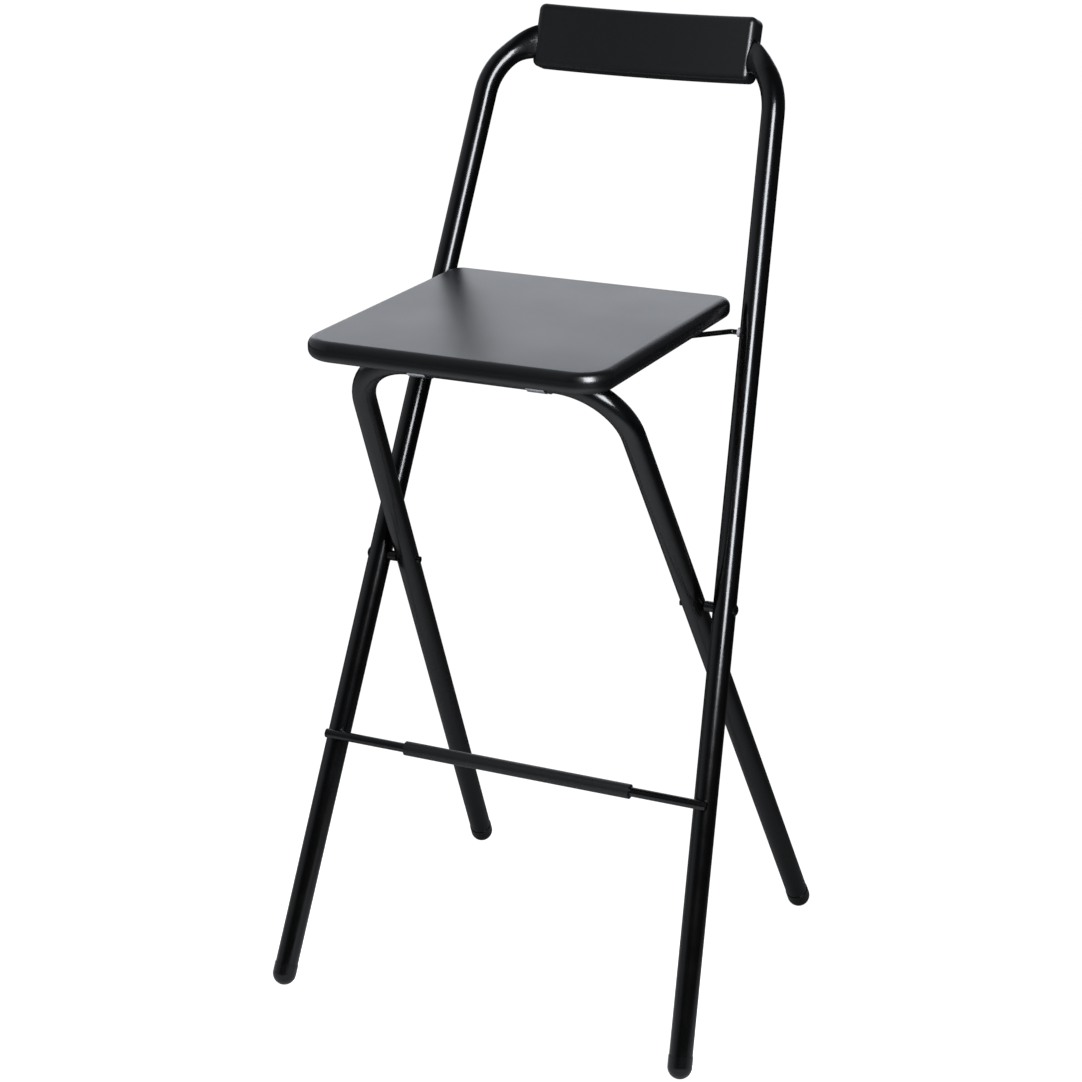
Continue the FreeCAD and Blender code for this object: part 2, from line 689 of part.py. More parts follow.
# Seat.
def slab(name, width, depth, thickness, front_corner_radius, rear_corner_radius, edge_radius, front):
    """A board on its own XY plane, its front edge at a distance ahead of the axis."""
    body = doc.addObject("PartDesign::Body", name)
    outline = new_sketch(body, name + "_outline", "XY_Plane")
    half = value(width) / 2
    rear = value(depth) - front
    points = [(-half, -front), (half, -front), (half, rear), (-half, rear)]
    add_runs(outline, [(points[index], points[(index + 1) % 4]) for index in range(4)], closed=True)
    for index, expression in ((0, width), (1, depth)):
        constraint = outline.addConstraint(Sketcher.Constraint("Distance", index, value(expression)))
        outline.setExpression("Constraints[%d]" % constraint, expression)
    middle = (rear - front) / 2

    def front_corner(edge):
        return upright(edge) and edge.Vertexes[0].Y < middle

    def rear_corner(edge):
        return upright(edge) and edge.Vertexes[0].Y > middle

    board = pad(body, outline, thickness)
    front_rounded = fillet(body, board, front_corner, front_corner_radius)
    all_rounded = fillet(body, front_rounded, rear_corner, rear_corner_radius)
    fillet(body, all_rounded, level, edge_radius)
    doc.recompute()
    return body


def seat_core(name):
    """The board inside its cover, in the cover's own frame."""
    core = slab(name, "sizes.seat_width - 2 * sizes.seat_cover_thickness",
                "sizes.seat_depth - 2 * sizes.seat_cover_thickness",
                "sizes.seat_thickness - 2 * sizes.seat_cover_thickness",
                "sizes.seat_front_corner_radius - sizes.seat_cover_thickness",
                "sizes.seat_rear_corner_radius - sizes.seat_cover_thickness",
                SEAT_EDGE + " - sizes.seat_cover_thickness",
                size("seat_front_overhang") - size("seat_cover_thickness"))
    core.Placement = shifted(0, 0, size("seat_cover_thickness"))
    return core


def seat_pieces():
    place = seat_place * shifted(0, 0, seat_gap)
    pilot_radius = "sizes.wood_screw_diameter / 2 + sizes.fit_clearance"
    pilots = []
    for name, at in wood_screw_places().items():
        hole = rod("pilot_" + name, pilot_radius, "sizes.wood_screw_length", shifted(0, 0, -seat_gap) * at)
        pilots.append(hole)
    add_node(cut("seat_board_cut", seat_core("seat_core"), pilots), "seat_board", place)
    skin = slab("seat_skin", "sizes.seat_width", "sizes.seat_depth", "sizes.seat_thickness",
                "sizes.seat_front_corner_radius", "sizes.seat_rear_corner_radius",
                SEAT_EDGE, size("seat_front_overhang"))
    opening = doc.addObject("Part::Box", "seat_skin_opening")
    opening.setExpression("Length", "sizes.seat_width - 2 * sizes.seat_cover_return")
    opening.setExpression("Width", "sizes.seat_depth - 2 * sizes.seat_cover_return")
    opening.setExpression("Height", "2 * sizes.seat_cover_thickness")
    inset = size("seat_cover_return")
    opening.Placement = shifted(inset - size("seat_width") / 2, inset - size("seat_front_overhang"),
                                -size("seat_cover_thickness"))
    add_node(cut("seat_cover_cut", skin, [seat_core("seat_cover_core"), opening]), "seat_cover", place)


def saddle_flange_centre():
    return (tube_radius + size("saddle_clearance") + size("saddle_gauge")
            + size("saddle_flange_length") / 2)


def clip_flange_centre():
    return (size("link_wire_diameter") / 2 + size("free_clearance") + size("link_clip_gauge")
            + size("link_clip_flange_length") / 2)


def wood_screw_places():
    """Where each screw's head meets its flange, in the seat's frame. Screws point up."""
    places = {}
    for name, side in SIDES:
        saddle_x = saddle_centre(side)
        clip_x = side * size("link_clip_spacing") / 2
        saddle_z = board_underside - size("saddle_gauge")
        clip_z = board_underside - size("link_clip_gauge")
        for end, sign in (("front", -1), ("rear", 1)):
            places["saddle_screw_%s_%s" % (name, end)] = shifted(
                saddle_x, sign * saddle_flange_centre(), saddle_z)
            places["link_clip_screw_%s_%s" % (name, end)] = shifted(
                clip_x, link_along_seat + sign * clip_flange_centre(), clip_z)
    return places


def strap_node(label, width, inner_radius, gauge, flange, place, screw_reach):
    """A strap along X round a bar at its own origin. The board's underside is given by its place."""
    body = doc.addObject("PartDesign::Body", label + "_body")
    profile = new_sketch(body, label + "_profile", "YZ_Plane")
    inner = inner_radius
    outer = inner + size(gauge)
    top = board_underside - place.Base.z
    tip = outer + size(flange)
    below = top - size(gauge)
    pieces = [
        ((-tip, top), (-inner, top)), ((-inner, top), (-inner, 0)), ((-inner, 0), (0, -inner), (inner, 0)),
        ((inner, 0), (inner, top)), ((inner, top), (tip, top)), ((tip, top), (tip, below)),
        ((tip, below), (outer, below)), ((outer, below), (outer, 0)), ((outer, 0), (0, -outer), (-outer, 0)),
        ((-outer, 0), (-outer, below)), ((-outer, below), (-tip, below)), ((-tip, below), (-tip, top)),
    ]
    add_runs(profile, pieces, closed=True)
    pad(body, profile, width, midplane=True)
    holes = []
    for end, sign in (("front", -1), ("rear", 1)):
        holes.append(rod(label + "_hole_" + end, "sizes.wood_screw_diameter / 2 + sizes.fit_clearance",
                         "4 * sizes." + gauge, shifted(0, sign * screw_reach, below - size(gauge))))
    add_node(cut(label + "_cut", body, holes), label, seat_place * place)


def screw(label, kind, place):
    """A dome-headed screw with a cross slot. Its shank points along +Z and its head is below."""
    shank = rod(label + "_shank", "sizes.%s_diameter / 2" % kind, "sizes.%s_length" % kind, Placement())
    head = doc.addObject("Part::Cone", label + "_head")
    head.setExpression("Radius1", "sizes.%s_head_diameter / 3" % kind)
    head.setExpression("Radius2", "sizes.%s_head_diameter / 2" % kind)
    head.setExpression("Height", "sizes.%s_head_height" % kind)
    height = size(kind + "_head_height")
    head.Placement = shifted(0, 0, -height)
    reach = size(kind + "_head_diameter") / 4
    slots = []
    for number, angle in enumerate((0, 90), start=1):
        slot = doc.addObject("Part::Box", "%s_slot_%d" % (label, number))
        slot.setExpression("Length", "sizes.%s_head_diameter / 2" % kind)
        slot.setExpression("Width", "sizes.screw_slot_width")
        slot.setExpression("Height", "2 * sizes.screw_slot_depth")
        corner = shifted(-reach, -size("screw_slot_width") / 2, -height - size("screw_slot_depth"))
        slot.Placement = Placement(Vector(), turned_z(angle)) * corner
        slots.append(slot)
    solid = fuse(label + "_solid", [shank, head])
    add_node(cut(label + "_cut", solid, slots), label, place)


def seat_fittings():
    saddle_radius = tube_radius + size("saddle_clearance")
    clip_radius = size("link_wire_diameter") / 2 + size("free_clearance")
    for name, side in SIDES:
        strap_node("seat_saddle_" + name, "sizes.saddle_width", saddle_radius, "saddle_gauge",
                   "saddle_flange_length", shifted(saddle_centre(side), 0, 0), saddle_flange_centre())
        strap_node("link_clip_" + name, "sizes.link_clip_width", clip_radius, "link_clip_gauge",
                   "link_clip_flange_length",
                   shifted(side * size("link_clip_spacing") / 2, link_along_seat, link_drop),
                   clip_flange_centre())
    for label, at in wood_screw_places().items():
        screw(label, "wood_screw", seat_place * at)


# Wire link.
link_end_x = bush_start - size("free_clearance")


def seat_link():
    corners = [(0.0, 0.0), (size("link_bar_half_width"), 0.0),
               (link_end_x - size("link_end_length"), link_length), (link_end_x, link_length)]
    radii = [size("link_corner_radius"), size("link_end_radius")]
    wire = bent_rod("link_wire", "XY_Plane", corners, radii, "sizes.link_wire_diameter / 2")
    add_node(wire, "seat_link", link_place)


# Backrest.
backrest_half = size("backrest_width") / 2
backrest_front_middle = size("backrest_front_setback")
backrest_front_end = backrest_front_middle - size("backrest_hollow")
backrest_rear_middle = backrest_front_middle + size("backrest_middle_thickness")
backrest_rear_end = backrest_front_end + size("backrest_end_thickness")


def arc_depth(middle, end, x):
    """How far back an arc through both ends and the middle lies at a distance from the middle."""
    sag = middle - end
    radius = (backrest_half ** 2 + sag ** 2) / (2 * sag)
    return middle - radius + math.sqrt(radius ** 2 - x ** 2)


def backrest_screw_place(side):
    """From just inside the rear face, pointing forward through the flat bar, in backrest axes."""
    x = side * size("backrest_screw_spacing") / 2
    depth = arc_depth(backrest_rear_middle, backrest_rear_end, x) - size("backrest_screw_sink")
    return Placement(Vector(x, depth, -size("backrest_above_bar")), turned_x(90))


def backrest_blank(name):
    """The whole pad: a slab curved in plan, with rounded ends and rims."""
    body = doc.addObject("PartDesign::Body", name)
    outline = new_sketch(body, name + "_outline", "XY_Plane")
    half = backrest_half
    pieces = [
        ((-half, backrest_front_end), (0, backrest_front_middle), (half, backrest_front_end)),
        ((half, backrest_front_end), (half, backrest_rear_end)),
        ((half, backrest_rear_end), (0, backrest_rear_middle), (-half, backrest_rear_end)),
        ((-half, backrest_rear_end), (-half, backrest_front_end)),
    ]
    add_runs(outline, pieces, closed=True)
    slab_pad = pad(body, outline, "sizes.backrest_height", midplane=True)
    fillet(body, slab_pad, any_edge, "sizes.backrest_edge_radius")
    doc.recompute()
    return body


def backrest_front_room(name):
    """The space ahead of the joint between the front and rear shells."""
    body = doc.addObject("PartDesign::Body", name)
    outline = new_sketch(body, name + "_outline", "XY_Plane")
    reach = backrest_half + size("backrest_end_thickness")
    share = size("backrest_front_share")
    sag = size("backrest_hollow") * (reach / backrest_half) ** 2
    ends = backrest_front_middle + share - sag
    ahead = backrest_front_end - size("backrest_end_thickness")
    pieces = [
        ((-reach, ends), (0, backrest_front_middle + share), (reach, ends)),
        ((reach, ends), (reach, ahead)), ((reach, ahead), (-reach, ahead)), ((-reach, ahead), (-reach, ends)),
    ]
    add_runs(outline, pieces, closed=True)
    pad(body, outline, "2 * sizes.backrest_height", midplane=True)
    return body


def backrest_shells():
    channel = whole_back_tube(size("backrest_channel_clearance"))
    channel.Placement = backrest_place.inverse()
    for label, operation in (("backrest_front_shell", "Part::Common"), ("backrest_rear_shell", "Part::Cut")):
        share = doc.addObject(operation, label + "_share")
        share.Base = backrest_blank(label + "_blank")
        share.Tool = backrest_front_room(label + "_room")
        bar = doc.addObject("Part::Feature", label + "_channel")
        bar.Shape = channel
        tools = [bar]
        for name, side in SIDES:
            at = backrest_screw_place(side)
            tools.append(rod("%s_hole_%s" % (label, name), "sizes.backrest_screw_diameter / 2"
                             " + sizes.fit_clearance", "sizes.backrest_screw_length", at))
            tools.append(rod("%s_head_room_%s" % (label, name), "sizes.backrest_screw_head_diameter / 2"
                             " + sizes.fit_clearance", "2 * sizes.backrest_screw_head_height",
                             at * shifted(0, 0, -2 * size("backrest_screw_head_height"))))
        add_node(cut(label + "_cut", share, tools), label, back_place * backrest_place)
    for name, side in SIDES:
        screw("backrest_screw_" + name, "backrest_screw",
              back_place * backrest_place * backrest_screw_place(side))


back_frame_tube()
backrest_shells()
footrest()
leg_frame_tube()
for side_name, side_sign in SIDES:
    foot("front_foot_" + side_name, back_place, "front_foot_half_width", "back_taper_angle", side_sign)
    foot("rear_foot_" + side_name, leg_place, "rear_foot_half_width", "leg_taper_angle", side_sign)
    pivot_pieces(side_name, side_sign)
    link_bush(side_name, side_sign)
    stop_pin(side_name, side_sign)
seat_pieces()
seat_fittings()
seat_link()
doc.recompute()

for item in doc.Objects:
    if "Invalid" in item.State or "Error" in item.State:
        raise RuntimeError("%s could not be made: %s" % (item.Name, item.State))
for node in NODES:
    if node.Shape.isNull() or not node.Shape.isValid():
        raise RuntimeError("%s has no valid shape" % node.Label)
    if len(node.Shape.Solids) != 1:
        raise RuntimeError("%s has %d solids" % (node.Label, len(node.Shape.Solids)))

os.makedirs("parts", exist_ok=True)
for node in NODES:
    node.Shape.exportStep(os.path.join("parts", node.Label + ".step"))

box = FreeCAD.BoundBox()
for node in NODES:
    box.add(node.Shape.BoundBox)
print("%d sub-parts, outer box %.2f x %.2f x %.2f mm" % (len(NODES), box.XLength, box.YLength, box.ZLength))
print("box from", box.XMin, box.YMin, box.ZMin, "to", box.XMax, box.YMax, box.ZMax)
print("pivot axis Y %.4f Z %.4f" % (pivot_y, pivot_z))
print("front bar axis Y %.4f Z %.4f" % (pivot_y + front_bar_y, front_bar_z))
print("link bar axis Y %.4f Z %.4f" % (link_bar_point.y, link_bar_point.z))
print("turns: legs %.4f, seat %.4f, link %.4f degrees" % (math.degrees(fold_angle), seat_turn, link_turn))
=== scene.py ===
import json
import math

import bmesh
import bpy
from mathutils import Matrix, Vector

# A folding bar stool in black coated steel tube. Lengths are in metres, X to the right in a front
# view, Y to the rear and Z up, with the floor at Z = 0.

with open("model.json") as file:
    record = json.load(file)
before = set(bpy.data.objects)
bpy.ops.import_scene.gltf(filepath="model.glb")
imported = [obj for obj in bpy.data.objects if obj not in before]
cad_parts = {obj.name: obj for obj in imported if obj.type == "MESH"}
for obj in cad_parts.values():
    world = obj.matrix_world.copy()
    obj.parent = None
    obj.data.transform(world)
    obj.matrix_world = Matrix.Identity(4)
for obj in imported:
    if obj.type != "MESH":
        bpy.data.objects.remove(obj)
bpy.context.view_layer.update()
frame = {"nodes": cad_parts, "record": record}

# Camera, as the photograph was taken.
IMAGE_SIDE = 1082
FOCAL_PIXELS = 2632.4
CAMERA_PLACE = (0.99635, -2.18127, 1.22643)
CAMERA_YAW = math.radians(24.8627)
CAMERA_PITCH = math.radians(18.1453)
CAMERA_ROLL = math.radians(0.59)
CAMERA_REACH = 100.0

# Shades of the stool's finishes, as linear colours.
COAT_BLACK = (0.0006, 0.0006, 0.00065)
PLASTIC_BLACK = (0.003, 0.0033, 0.0035)
FILM_BLACK = (0.009, 0.0095, 0.0108)
ZINC = (0.66, 0.67, 0.69)
NYLON_GREY = (0.2, 0.2, 0.2)
BOARD_PALE = (0.36, 0.25, 0.155)
BOARD_DARK = (0.17, 0.105, 0.06)

# How far a scuff is drawn out along each axis: along upright tubes, and across flat mouldings.
TUBE_SCUFFS = (520.0, 520.0, 45.0)
MOULDING_SCUFFS = (70.0, 420.0, 420.0)
ZINC_BRUSHING = (900.0, 90.0, 900.0)

# Stage. The floor and the room around the stool are mirrored in its coat.
# Painted shade: the floor's colour seen in reflections is painted bright in front and dark towards the
# rear and the right.
FLOOR_HALF_SIDE = 30.0
FLOOR_FRONT_PAINTED_SHADE = 0.8
FLOOR_REAR_PAINTED_SHADE = 0.07
FLOOR_FADE = (-0.7, 0.6)
FLOOR_FADE_SLANT = 0.35
FLOOR_GLOW = 1.0
ROOM_TINT = (0.93, 0.975, 1.06)
ROOM_REAR_SHARE = 0.3
ROOM_FADE = (-0.15, 0.75)
ROOM_STRENGTHS = (0.055, 0.48)
SOFTBOX_TINT = (0.955, 0.985, 1.04)
SOFTBOX_TARGET = (0.0, 0.0, 0.7)
WHITE = (1.0, 1.0, 1.0)


# Materials. Every pattern reads the object's own coordinates, in metres.
def new_group(name, inputs, outputs):
    """A node group with named sockets. Inputs are (name, kind, value), outputs (name, kind)."""
    group = bpy.data.node_groups.new(name, "ShaderNodeTree")
    for label, kind, value in inputs:
        socket = group.interface.new_socket(label, in_out="INPUT", socket_type=kind)
        socket.default_value = value
    for label, kind in outputs:
        group.interface.new_socket(label, in_out="OUTPUT", socket_type=kind)
    return group, group.nodes.new("NodeGroupInput"), group.nodes.new("NodeGroupOutput")


def feed(tree, value, socket):
    """Sets a socket to a number, or links it to another socket."""
    if isinstance(value, (int, float)):
        socket.default_value = value
    else:
        tree.links.new(value, socket)


def add_math(tree, operation, *values, clamp=False):
    """A math node. Each value is a number or a socket."""
    node = tree.nodes.new("ShaderNodeMath")
    node.operation = operation
    node.use_clamp = clamp
    for place, value in enumerate(values):
        feed(tree, value, node.inputs[place])
    return node.outputs[0]


def add_noise(tree, place, scale, detail, roughness):
    node = tree.nodes.new("ShaderNodeTexNoise")
    node.inputs["Detail"].default_value = detail
    node.inputs["Roughness"].default_value = roughness
    tree.links.new(place, node.inputs["Vector"])
    feed(tree, scale, node.inputs["Scale"])
    return node.outputs["Fac"]


def add_range(tree, value, source, target=(0.0, 1.0), smooth=False):
    """Maps a value from one (low, high) range to another and stops at both ends."""
    node = tree.nodes.new("ShaderNodeMapRange")
    node.interpolation_type = "SMOOTHSTEP" if smooth else "LINEAR"
    tree.links.new(value, node.inputs["Value"])
    for label, number in zip(("From Min", "From Max", "To Min", "To Max"), (*source, *target)):
        node.inputs[label].default_value = number
    return node.outputs["Result"]


def make_coat_ripple():
    """The slight orange peel of a powder coat, and the patches where it is a little duller."""
    group, given, result = new_group(
        "coat_ripple",
        [("Place", "NodeSocketVector", (0, 0, 0)), ("Peel Scale", "NodeSocketFloat", 420.0),
         ("Sheen Low", "NodeSocketFloat", 0.2), ("Sheen High", "NodeSocketFloat", 0.3)],
        [("Height", "NodeSocketFloat"), ("Roughness", "NodeSocketFloat")])
    peel = add_noise(group, given.outputs["Place"], given.outputs["Peel Scale"], detail=1.0, roughness=0.4)
    patches = add_noise(group, given.outputs["Place"], scale=28.0, detail=3.0, roughness=0.6)
    spread = add_math(group, "SUBTRACT", given.outputs["Sheen High"], given.outputs["Sheen Low"])
    patches = add_range(group, patches, source=(0.3, 0.7), smooth=True)
    roughness = add_math(group, "MULTIPLY_ADD", patches, spread, given.outputs["Sheen Low"])
    group.links.new(peel, result.inputs["Height"])
    group.links.new(roughness, result.inputs["Roughness"])
    return group


def make_moulded_grain():
    """Fine leathery pebbles, as on moulded plastic and embossed film."""
    crackle_fineness = 1.7
    crackle_share = 0.45
    group, given, result = new_group(
        "moulded_grain",
        [("Place", "NodeSocketVector", (0, 0, 0)), ("Pebble Scale", "NodeSocketFloat", 900.0)],
        [("Height", "NodeSocketFloat"), ("Pits", "NodeSocketFloat")])
    cells = group.nodes.new("ShaderNodeTexVoronoi")
    cells.feature = "SMOOTH_F1"
    cells.inputs["Smoothness"].default_value = 0.7
    group.links.new(given.outputs["Place"], cells.inputs["Vector"])
    group.links.new(given.outputs["Pebble Scale"], cells.inputs["Scale"])
    finer = add_math(group, "MULTIPLY", given.outputs["Pebble Scale"], crackle_fineness)
    crackle = add_noise(group, given.outputs["Place"], finer, detail=2.0, roughness=0.6)
    height = add_math(group, "MULTIPLY_ADD", crackle, crackle_share, cells.outputs["Distance"])
    pits = add_range(group, cells.outputs["Distance"], source=(0.2, 0.75), smooth=True)
    group.links.new(height, result.inputs["Height"])
    group.links.new(pits, result.inputs["Pits"])
    return group


def make_rub_marks():
    """Faint scuffs, drawn out along one direction by the stretch."""
    group, given, result = new_group(
        "rub_marks",
        [("Place", "NodeSocketVector", (0, 0, 0)), ("Stretch", "NodeSocketVector", (60.0, 600.0, 600.0)),
         ("Amount", "NodeSocketFloat", 0.3)],
        [("Mask", "NodeSocketFloat")])
    stretched = group.nodes.new("ShaderNodeVectorMath")
    stretched.operation = "MULTIPLY"
    group.links.new(given.outputs["Place"], stretched.inputs[0])
    group.links.new(given.outputs["Stretch"], stretched.inputs[1])
    streaks = add_noise(group, stretched.outputs["Vector"], scale=1.0, detail=3.0, roughness=0.65)
    where = add_noise(group, given.outputs["Place"], scale=14.0, detail=2.0, roughness=0.5)
    streaks = add_range(group, streaks, source=(0.58, 0.78))
    where = add_range(group, where, source=(0.45, 0.65), smooth=True)
    both = add_math(group, "MULTIPLY", streaks, where)
    mask = add_math(group, "MULTIPLY", both, given.outputs["Amount"], clamp=True)
    group.links.new(mask, result.inputs["Mask"])
    return group


COAT_RIPPLE = make_coat_ripple()
MOULDED_GRAIN = make_moulded_grain()
RUB_MARKS = make_rub_marks()


def new_material(name, metallic=0.0, specular=0.5):
    """A material with its shader and the object's coordinates: (material, tree, shader, coordinates)."""
    material = bpy.data.materials.new(name)
    material.use_nodes = True
    tree = material.node_tree
    shader = tree.nodes["Principled BSDF"]
    shader.inputs["Metallic"].default_value = metallic
    shader.inputs["Specular IOR Level"].default_value = specular
    return material, tree, shader, tree.nodes.new("ShaderNodeTexCoord")


def place_group(tree, group, coordinates, **values):
    node = tree.nodes.new("ShaderNodeGroup")
    node.node_tree = group
    tree.links.new(coordinates.outputs["Object"], node.inputs["Place"])
    for label, value in values.items():
        node.inputs[label.replace("_", " ")].default_value = value
    return node


def add_bump(tree, shader, height, depth):
    bump = tree.nodes.new("ShaderNodeBump")
    bump.inputs["Strength"].default_value = 1.0
    bump.inputs["Distance"].default_value = depth
    tree.links.new(height, bump.inputs["Height"])
    tree.links.new(bump.outputs["Normal"], shader.inputs["Normal"])


def add_tint(tree, shader, factor, first, second):
    """Base colour that goes from the first to the second as the factor goes from 0 to 1."""
    mix = tree.nodes.new("ShaderNodeMix")
    mix.data_type = "RGBA"
    mix.inputs["A"].default_value = (*first, 1.0)
    mix.inputs["B"].default_value = (*second, 1.0)
    tree.links.new(factor, mix.inputs["Factor"])
    tree.links.new(mix.outputs["Result"], shader.inputs["Base Color"])


def scaled(colour, share):
    return tuple(channel * share for channel in colour)


def coated_steel(name, sheen_low, sheen_high, specular, peel_scale):
    rub_roughness = 0.12
    rub_paleness = 2.2
    material, tree, shader, coordinates = new_material(name, specular=specular)
    ripple = place_group(tree, COAT_RIPPLE, coordinates, Peel_Scale=peel_scale, Sheen_Low=sheen_low,
                         Sheen_High=sheen_high)
    rubs = place_group(tree, RUB_MARKS, coordinates, Stretch=TUBE_SCUFFS, Amount=0.35)
    mask = rubs.outputs["Mask"]
    roughness = add_math(tree, "MULTIPLY_ADD", mask, rub_roughness, ripple.outputs["Roughness"])
    tree.links.new(roughness, shader.inputs["Roughness"])
    add_tint(tree, shader, mask, COAT_BLACK, scaled(COAT_BLACK, rub_paleness))
    add_bump(tree, shader, ripple.outputs["Height"], depth=0.00002)
    return material


def moulded_plastic(name, colour, roughness, specular, pebble_scale, pebble_depth):
    rub_roughness = 0.1
    pit_roughness = 0.05
    pit_paleness = 1.25
    material, tree, shader, coordinates = new_material(name, specular=specular)
    grain = place_group(tree, MOULDED_GRAIN, coordinates, Pebble_Scale=pebble_scale)
    rubs = place_group(tree, RUB_MARKS, coordinates, Stretch=MOULDING_SCUFFS, Amount=0.3)
    worn = add_math(tree, "MULTIPLY_ADD", rubs.outputs["Mask"], rub_roughness, roughness)
    spread = add_math(tree, "MULTIPLY_ADD", grain.outputs["Pits"], pit_roughness, worn)
    tree.links.new(spread, shader.inputs["Roughness"])
    add_tint(tree, shader, grain.outputs["Pits"], colour, scaled(colour, pit_paleness))
    add_bump(tree, shader, grain.outputs["Height"], pebble_depth)
    return material


def seat_film():
    """Black film: finely grained on the flat faces, drawn smooth and glossier round the edges, whose
    colour is painted much darker as painted shade.
    """
    edge_roughness = 0.26
    flat_gain = 0.06
    rub_roughness = 0.06
    painted_edge_shade = 0.12
    cloud_spread = 0.015
    flat_from_to = (0.965, 0.998)
    material, tree, shader, coordinates = new_material("seat_film")
    grain = place_group(tree, MOULDED_GRAIN, coordinates, Pebble_Scale=1150.0)
    rubs = place_group(tree, RUB_MARKS, coordinates, Stretch=MOULDING_SCUFFS, Amount=0.3)
    facing = tree.nodes.new("ShaderNodeSeparateXYZ")
    tree.links.new(coordinates.outputs["Normal"], facing.inputs[0])
    upward = add_math(tree, "ABSOLUTE", facing.outputs["Z"])
    flat = add_range(tree, upward, flat_from_to, smooth=True)
    clouds = add_noise(tree, coordinates.outputs["Object"], scale=9.0, detail=3.0, roughness=0.55)
    clouds = add_range(tree, clouds, (0.3, 0.7), (-cloud_spread, cloud_spread), smooth=True)
    roughness = add_math(tree, "MULTIPLY_ADD", flat, flat_gain, edge_roughness)
    roughness = add_math(tree, "ADD", roughness, clouds)
    roughness = add_math(tree, "MULTIPLY_ADD", rubs.outputs["Mask"], rub_roughness, roughness)
    tree.links.new(roughness, shader.inputs["Roughness"])
    # Painted shade: faces that do not point straight up or down get a much darker colour than the flat
    # top.
    add_tint(tree, shader, flat, scaled(FILM_BLACK, painted_edge_shade), FILM_BLACK)
    height = add_math(tree, "MULTIPLY", grain.outputs["Height"], flat)
    add_bump(tree, shader, height, depth=0.000035)
    return material


def zinc_plate():
    """Bright plate with a fine spangle, brushed along one direction."""
    base_roughness = 0.24
    spangle_roughness = 0.08
    brushed_roughness = 0.15
    spangle_shade = 0.82
    material, tree, shader, coordinates = new_material("zinc_steel", metallic=1.0)
    brushed = place_group(tree, RUB_MARKS, coordinates, Stretch=ZINC_BRUSHING, Amount=1.0)
    spangle = tree.nodes.new("ShaderNodeTexVoronoi")
    spangle.inputs["Scale"].default_value = 320.0
    tree.links.new(coordinates.outputs["Object"], spangle.inputs["Vector"])
    tone = tree.nodes.new("ShaderNodeSeparateColor")
    tree.links.new(spangle.outputs["Color"], tone.inputs["Color"])
    add_tint(tree, shader, tone.outputs["Red"], ZINC, scaled(ZINC, spangle_shade))
    roughness = add_math(tree, "MULTIPLY_ADD", tone.outputs["Green"], spangle_roughness, base_roughness)
    roughness = add_math(tree, "MULTIPLY_ADD", brushed.outputs["Mask"], brushed_roughness, roughness)
    tree.links.new(roughness, shader.inputs["Roughness"])
    add_bump(tree, shader, brushed.outputs["Mask"], depth=0.00001)
    return material


def fibre_board():
    """Pressed wood fibres: short pale and dark flecks."""
    blotch_share = 0.45
    material, tree, shader, coordinates = new_material("board_core", specular=0.25)
    shader.inputs["Roughness"].default_value = 0.85
    flecks = add_noise(tree, coordinates.outputs["Object"], scale=900.0, detail=4.0, roughness=0.7)
    blotches = add_noise(tree, coordinates.outputs["Object"], scale=45.0, detail=3.0, roughness=0.6)
    both = add_math(tree, "MULTIPLY_ADD", blotches, blotch_share, flecks)
    share = add_range(tree, both, source=(0.45, 1.0))
    add_tint(tree, shader, share, BOARD_DARK, BOARD_PALE)
    add_bump(tree, shader, flecks, depth=0.00012)
    return material


# Slot, lowest and highest roughness, specular level, peel scale.
COATED_STEELS = (
    ("black_coated_tube", 0.16, 0.22, 0.42, 420.0),
    ("black_coated_rivet", 0.18, 0.26, 0.45, 900.0),
    ("black_wire", 0.2, 0.28, 0.45, 800.0),
)
# Slot, colour, roughness, specular level, pebble scale, pebble depth.
MOULDED_PLASTICS = (
    ("black_plastic", scaled(COAT_BLACK, 1.5), 0.22, 0.42, 1500.0, 0.00001),
    ("black_sleeve", PLASTIC_BLACK, 0.4, 0.4, 1200.0, 0.00002),
    ("backrest_plastic", PLASTIC_BLACK, 0.3, 0.42, 1300.0, 0.00002),
    ("grey_plastic", NYLON_GREY, 0.45, 0.4, 1500.0, 0.00002),
)
MATERIALS = {values[0]: coated_steel(*values) for values in COATED_STEELS}
MATERIALS.update({values[0]: moulded_plastic(*values) for values in MOULDED_PLASTICS})
MATERIALS.update({"board_core": fibre_board(), "seat_film": seat_film(), "zinc_steel": zinc_plate()})

for subpart in frame["record"]["subparts"]:
    node = frame["nodes"][subpart["node"]]
    node.data.materials.clear()
    node.data.materials.append(MATERIALS[subpart["material_slot"]])


# Stage: a plain pale floor, a pale surround and soft lights.
def pale_floor():
    """A floor that looks white from the camera. For other rays its colour is painted darker towards the
    rear and the right, as painted shade, so it reflects less there.
    """
    mesh = bmesh.new()
    bmesh.ops.create_grid(mesh, x_segments=1, y_segments=1, size=FLOOR_HALF_SIDE)
    data = bpy.data.meshes.new("floor")
    mesh.to_mesh(data)
    mesh.free()
    floor = bpy.data.objects.new("floor", data)
    bpy.context.scene.collection.objects.link(floor)
    material, tree, shader, coordinates = new_material("pale_floor", specular=0.1)
    parts = tree.nodes.new("ShaderNodeSeparateXYZ")
    tree.links.new(coordinates.outputs["Object"], parts.inputs[0])
    rearward = add_math(tree, "MULTIPLY_ADD", parts.outputs["X"], FLOOR_FADE_SLANT, parts.outputs["Y"])
    # Painted shade on the floor: bright in front, dark towards the rear and the right.
    shade = add_range(tree, rearward, FLOOR_FADE, (FLOOR_FRONT_PAINTED_SHADE, FLOOR_REAR_PAINTED_SHADE), smooth=True)
    tree.links.new(shade, shader.inputs["Base Color"])
    shader.inputs["Roughness"].default_value = 0.9
    shader.inputs["Emission Color"].default_value = (*WHITE, 1.0)
    rays = tree.nodes.new("ShaderNodeLightPath")
    lift = add_math(tree, "MULTIPLY", rays.outputs["Is Camera Ray"], FLOOR_GLOW)
    tree.links.new(lift, shader.inputs["Emission Strength"])
    data.materials.append(material)


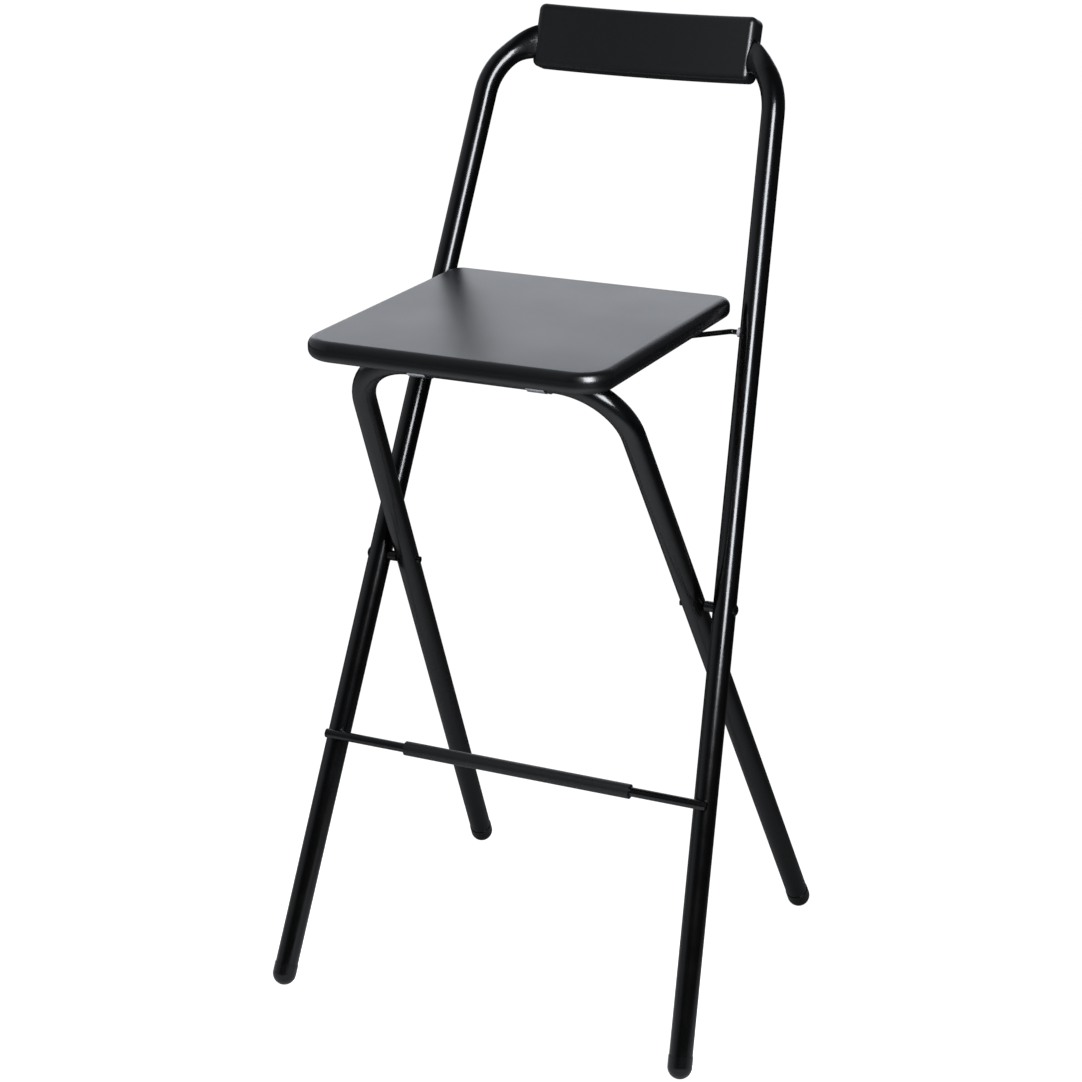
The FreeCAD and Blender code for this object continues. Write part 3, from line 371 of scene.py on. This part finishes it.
def surround():
    """White to the camera. To the stool it is pale on the left, and dark in front and on the right."""
    world = bpy.data.worlds.new("surround")
    bpy.context.scene.world = world
    world.use_nodes = True
    tree = world.node_tree
    backdrop = tree.nodes["Background"]
    backdrop.inputs["Color"].default_value = (*WHITE, 1.0)
    backdrop.inputs["Strength"].default_value = 1.0
    room = tree.nodes.new("ShaderNodeBackground")
    room.inputs["Color"].default_value = (*ROOM_TINT, 1.0)
    direction = tree.nodes.new("ShaderNodeTexCoord")
    parts = tree.nodes.new("ShaderNodeSeparateXYZ")
    tree.links.new(direction.outputs["Generated"], parts.inputs[0])
    rear = add_math(tree, "MULTIPLY", parts.outputs["Y"], ROOM_REAR_SHARE)
    side = add_math(tree, "SUBTRACT", rear, parts.outputs["X"])
    strength = add_range(tree, side, ROOM_FADE, ROOM_STRENGTHS, smooth=True)
    tree.links.new(strength, room.inputs["Strength"])
    rays = tree.nodes.new("ShaderNodeLightPath")
    mix = tree.nodes.new("ShaderNodeMixShader")
    tree.links.new(rays.outputs["Is Camera Ray"], mix.inputs[0])
    tree.links.new(room.outputs[0], mix.inputs[1])
    tree.links.new(backdrop.outputs[0], mix.inputs[2])
    tree.links.new(mix.outputs[0], tree.nodes["World Output"].inputs["Surface"])


def soft_light(name, place, width, height, power):
    """A rectangular lamp that faces the stool's seat."""
    data = bpy.data.lights.new(name, "AREA")
    data.shape = "RECTANGLE"
    data.size = width
    data.size_y = height
    data.energy = power
    data.color = SOFTBOX_TINT
    lamp = bpy.data.objects.new(name, data)
    lamp.visible_camera = False
    away = Vector(place) - Vector(SOFTBOX_TARGET)
    lamp.matrix_world = Matrix.Translation(place) @ away.to_track_quat("Z", "Y").to_matrix().to_4x4()
    bpy.context.scene.collection.objects.link(lamp)


def photograph_camera():
    """The photograph's camera, from its place, turns and focal length in pixels."""
    back = Vector((math.sin(CAMERA_YAW) * math.cos(CAMERA_PITCH),
                   -math.cos(CAMERA_YAW) * math.cos(CAMERA_PITCH), math.sin(CAMERA_PITCH)))
    level_right = Vector((math.cos(CAMERA_YAW), math.sin(CAMERA_YAW), 0.0))
    level_up = back.cross(level_right)
    right = math.cos(CAMERA_ROLL) * level_right + math.sin(CAMERA_ROLL) * level_up
    up = back.cross(right)
    data = bpy.data.cameras.new("camera")
    data.sensor_fit = "HORIZONTAL"
    data.lens = data.sensor_width * FOCAL_PIXELS / IMAGE_SIDE
    data.clip_end = CAMERA_REACH
    camera = bpy.data.objects.new("camera", data)
    turn = Matrix((right, up, back)).transposed().to_4x4()
    camera.matrix_world = Matrix.Translation(CAMERA_PLACE) @ turn
    bpy.context.scene.collection.objects.link(camera)
    bpy.context.scene.camera = camera


pale_floor()
surround()
soft_light("right_softbox", place=(0.68, -0.69, 1.15), width=0.4, height=0.9, power=29.0)
soft_light("rear_softbox", place=(-1.06, 2.27, 1.35), width=2.6, height=1.06, power=8.8)
photograph_camera()
bpy.context.scene.view_settings.view_transform = "Standard"
